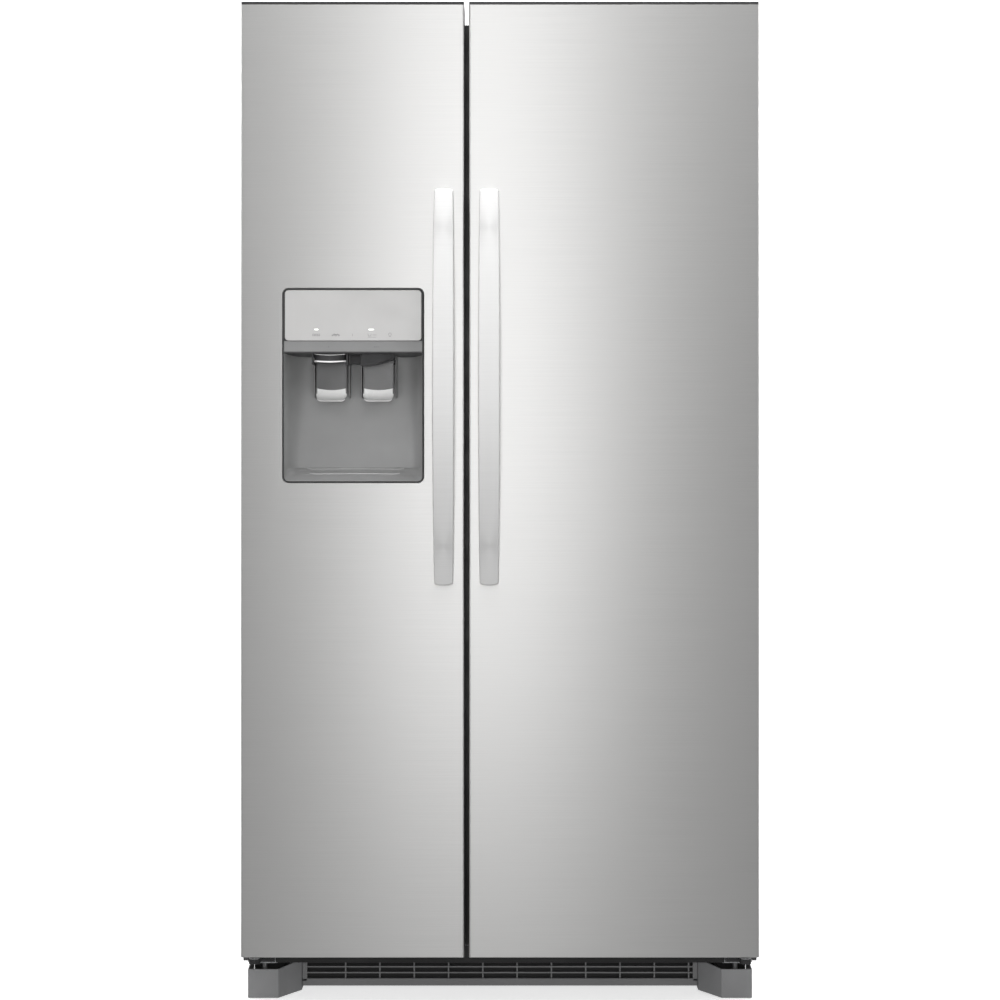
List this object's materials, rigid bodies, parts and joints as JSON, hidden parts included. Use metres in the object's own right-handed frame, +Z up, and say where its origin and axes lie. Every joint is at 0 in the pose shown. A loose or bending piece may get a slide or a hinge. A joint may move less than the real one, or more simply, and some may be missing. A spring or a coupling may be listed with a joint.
{
  "type": "side by side refrigerator",
  "caption": "Tall refrigerator-freezer with full-height hinged doors side by side, bowed strap handles, an ice and water dispenser recess, shelves, drawers and door bins inside.",
  "frame": {"origin": "on the floor, in the middle of the outline seen from above", "axes": "+Z up, the doors face -Y, +X to the right of a person facing the doors"},
  "size_m": [0.914, 0.898, 1.777],
  "materials": {
    "door_steel": "brushed, horizontal grain, satin",
    "handle_steel": "brushed, satin",
    "cabinet_paint": "satin grey paint with a fine orange-peel texture",
    "zinc_steel": "galvanized, matte",
    "bright_steel": "zinc plated, satin",
    "insulation": "matte foam",
    "liner_white": "satin",
    "dark_plastic": "matte, fine grain",
    "grey_plastic": "matte, fine grain",
    "recess_plastic": "satin",
    "fascia_silver": "satin silver paint on plastic",
    "paddle_plastic": "gloss",
    "black_plastic": "matte",
    "black_enamel": "gloss enamel",
    "condenser_tube": "satin black enamel on steel tube",
    "gasket_rubber": "matte",
    "clear_plastic": "clear, gloss",
    "shelf_glass": "clear float glass with a white rim"
  },
  "bodies": {
    "cabinet": {"cabinet_wrapper": "cabinet_paint", "cabinet_back_panel": "zinc_steel", "base_chassis": "zinc_steel", "rear_cover": "zinc_steel", "top_hinge_left": "zinc_steel", "top_hinge_right": "zinc_steel", "cabinet_foam": "insulation", "freezer_liner": "liner_white", "fresh_food_liner": "liner_white", "control_housing": "liner_white", "evaporator_module": "liner_white", "toe_grille": "dark_plastic", "hinge_cover_left": "dark_plastic", "hinge_cover_right": "dark_plastic", "leg_cover_left": "grey_plastic", "leg_cover_right": "grey_plastic", "ice_maker": "grey_plastic", "bottom_hinge_left": "black_enamel", "bottom_hinge_right": "black_enamel", "compressor": "black_enamel", "condenser_coil": "condenser_tube", "freezer_shelf_lower": "shelf_glass", "freezer_shelf_upper": "shelf_glass", "glass_shelf_lower": "shelf_glass", "glass_shelf_upper": "shelf_glass", "crisper_cover": "shelf_glass"},
    "freezer_door": {"freezer_door_skin": "door_steel", "freezer_door_liner": "liner_white", "freezer_door_cap_top": "dark_plastic", "freezer_door_cap_bottom": "dark_plastic", "freezer_door_gasket": "gasket_rubber", "freezer_door_handle": "handle_steel", "freezer_bin_upper": "clear_plastic", "freezer_bin_lower": "clear_plastic", "dispenser_housing": "recess_plastic", "dispenser_panel": "fascia_silver"},
    "fridge_door": {"fridge_door_skin": "door_steel", "fridge_door_liner": "liner_white", "fridge_door_cap_top": "dark_plastic", "fridge_door_cap_bottom": "dark_plastic", "fridge_door_gasket": "gasket_rubber", "fridge_door_handle": "handle_steel", "fridge_bin_upper": "clear_plastic", "fridge_bin_lower": "clear_plastic"},
    "ice_paddle_body": {"ice_paddle": "paddle_plastic"},
    "water_paddle_body": {"water_paddle": "paddle_plastic"},
    "chute_flap_body": {"ice_chute_flap": "black_plastic"},
    "dairy_door_body": {"dairy_door": "clear_plastic"},
    "upper_crisper": {"crisper_drawer_upper": "clear_plastic"},
    "lower_crisper": {"crisper_drawer_lower": "clear_plastic"},
    "basket": {"freezer_basket": "liner_white"},
    "ice_bin_body": {"ice_bin": "clear_plastic"},
    "feeler_arm": {"ice_maker_arm": "bright_steel"},
    "fan": {"condenser_fan": "black_plastic"},
    "wheel_front_left": {"roller_front_left": "black_plastic"},
    "wheel_front_right": {"roller_front_right": "black_plastic"},
    "wheel_rear_left": {"roller_rear_left": "black_plastic"},
    "wheel_rear_right": {"roller_rear_right": "black_plastic"},
    "leg_left": {"levelling_leg_left": "bright_steel"},
    "leg_right": {"levelling_leg_right": "bright_steel"}
  },
  "joints": [
    {"name": "freezer_door_hinge", "type": "hinge", "parent": "cabinet", "child": "freezer_door", "pos_m": [-0.437, -0.35, 0.9], "axis": [0, 0, -1], "range_deg": [0, 120]},
    {"name": "fridge_door_hinge", "type": "hinge", "parent": "cabinet", "child": "fridge_door", "pos_m": [0.437, -0.35, 0.9], "axis": [0, 0, 1], "range_deg": [0, 120]},
    {"name": "ice_paddle_press", "type": "hinge", "parent": "freezer_door", "child": "ice_paddle_body", "pos_m": [-0.302, -0.318, 1.146], "axis": [1, 0, 0], "range_deg": [0, 12], "stiffness_Nm_per_rad": 0.15},
    {"name": "water_paddle_press", "type": "hinge", "parent": "freezer_door", "child": "water_paddle_body", "pos_m": [-0.218, -0.318, 1.146], "axis": [1, 0, 0], "range_deg": [0, 12], "stiffness_Nm_per_rad": 0.15},
    {"name": "chute_flap_hinge", "type": "hinge", "parent": "freezer_door", "child": "chute_flap_body", "pos_m": [-0.302, -0.328, 1.159], "axis": [1, 0, 0], "range_deg": [0, 36]},
    {"name": "dairy_door_hinge", "type": "hinge", "parent": "fridge_door", "child": "dairy_door_body", "pos_m": [0.196, -0.29, 1.588], "axis": [1, 0, 0], "range_deg": [0, 85]},
    {"name": "upper_crisper_slide", "type": "slide", "parent": "cabinet", "child": "upper_crisper", "axis": [0, -1, 0], "range_m": [0, 0.075]},
    {"name": "lower_crisper_slide", "type": "slide", "parent": "cabinet", "child": "lower_crisper", "axis": [0, -1, 0], "range_m": [0, 0.1]},
    {"name": "basket_slide", "type": "slide", "parent": "cabinet", "child": "basket", "axis": [0, -1, 0], "range_m": [0, 0.11]},
    {"name": "ice_bin_slide", "type": "slide", "parent": "cabinet", "child": "ice_bin_body", "axis": [0, -1, 0], "range_m": [0, 0.1]},
    {"name": "feeler_arm_lift", "type": "hinge", "parent": "cabinet", "child": "feeler_arm", "pos_m": [-0.128, 0.04, 1.612], "axis": [-1, 0, 0], "range_deg": [0, 35]},
    {"name": "fan_spin", "type": "hinge", "parent": "cabinet", "child": "fan", "pos_m": [-0.04, 0.335, 0.152], "axis": [1, 0, 0], "continuous": true},
    {"name": "roller_front_left_spin", "type": "hinge", "parent": "cabinet", "child": "wheel_front_left", "pos_m": [-0.425, -0.195, 0.0195], "axis": [1, 0, 0], "continuous": true},
    {"name": "roller_front_right_spin", "type": "hinge", "parent": "cabinet", "child": "wheel_front_right", "pos_m": [0.425, -0.195, 0.0195], "axis": [1, 0, 0], "continuous": true},
    {"name": "roller_rear_left_spin", "type": "hinge", "parent": "cabinet", "child": "wheel_rear_left", "pos_m": [-0.425, 0.395, 0.02], "axis": [1, 0, 0], "continuous": true},
    {"name": "roller_rear_right_spin", "type": "hinge", "parent": "cabinet", "child": "wheel_rear_right", "pos_m": [0.425, 0.395, 0.02], "axis": [1, 0, 0], "continuous": true},
    {"name": "levelling_leg_left_turn", "type": "hinge", "parent": "cabinet", "child": "leg_left", "pos_m": [-0.427, -0.264, 0.03], "axis": [0, 0, 1], "continuous": true},
    {"name": "levelling_leg_right_turn", "type": "hinge", "parent": "cabinet", "child": "leg_right", "pos_m": [0.427, -0.264, 0.03], "axis": [0, 0, 1], "continuous": true}
  ],
  "couplings": [
    {"joint": "chute_flap_hinge", "follows": "ice_paddle_press", "ratio": 3}
  ]
}
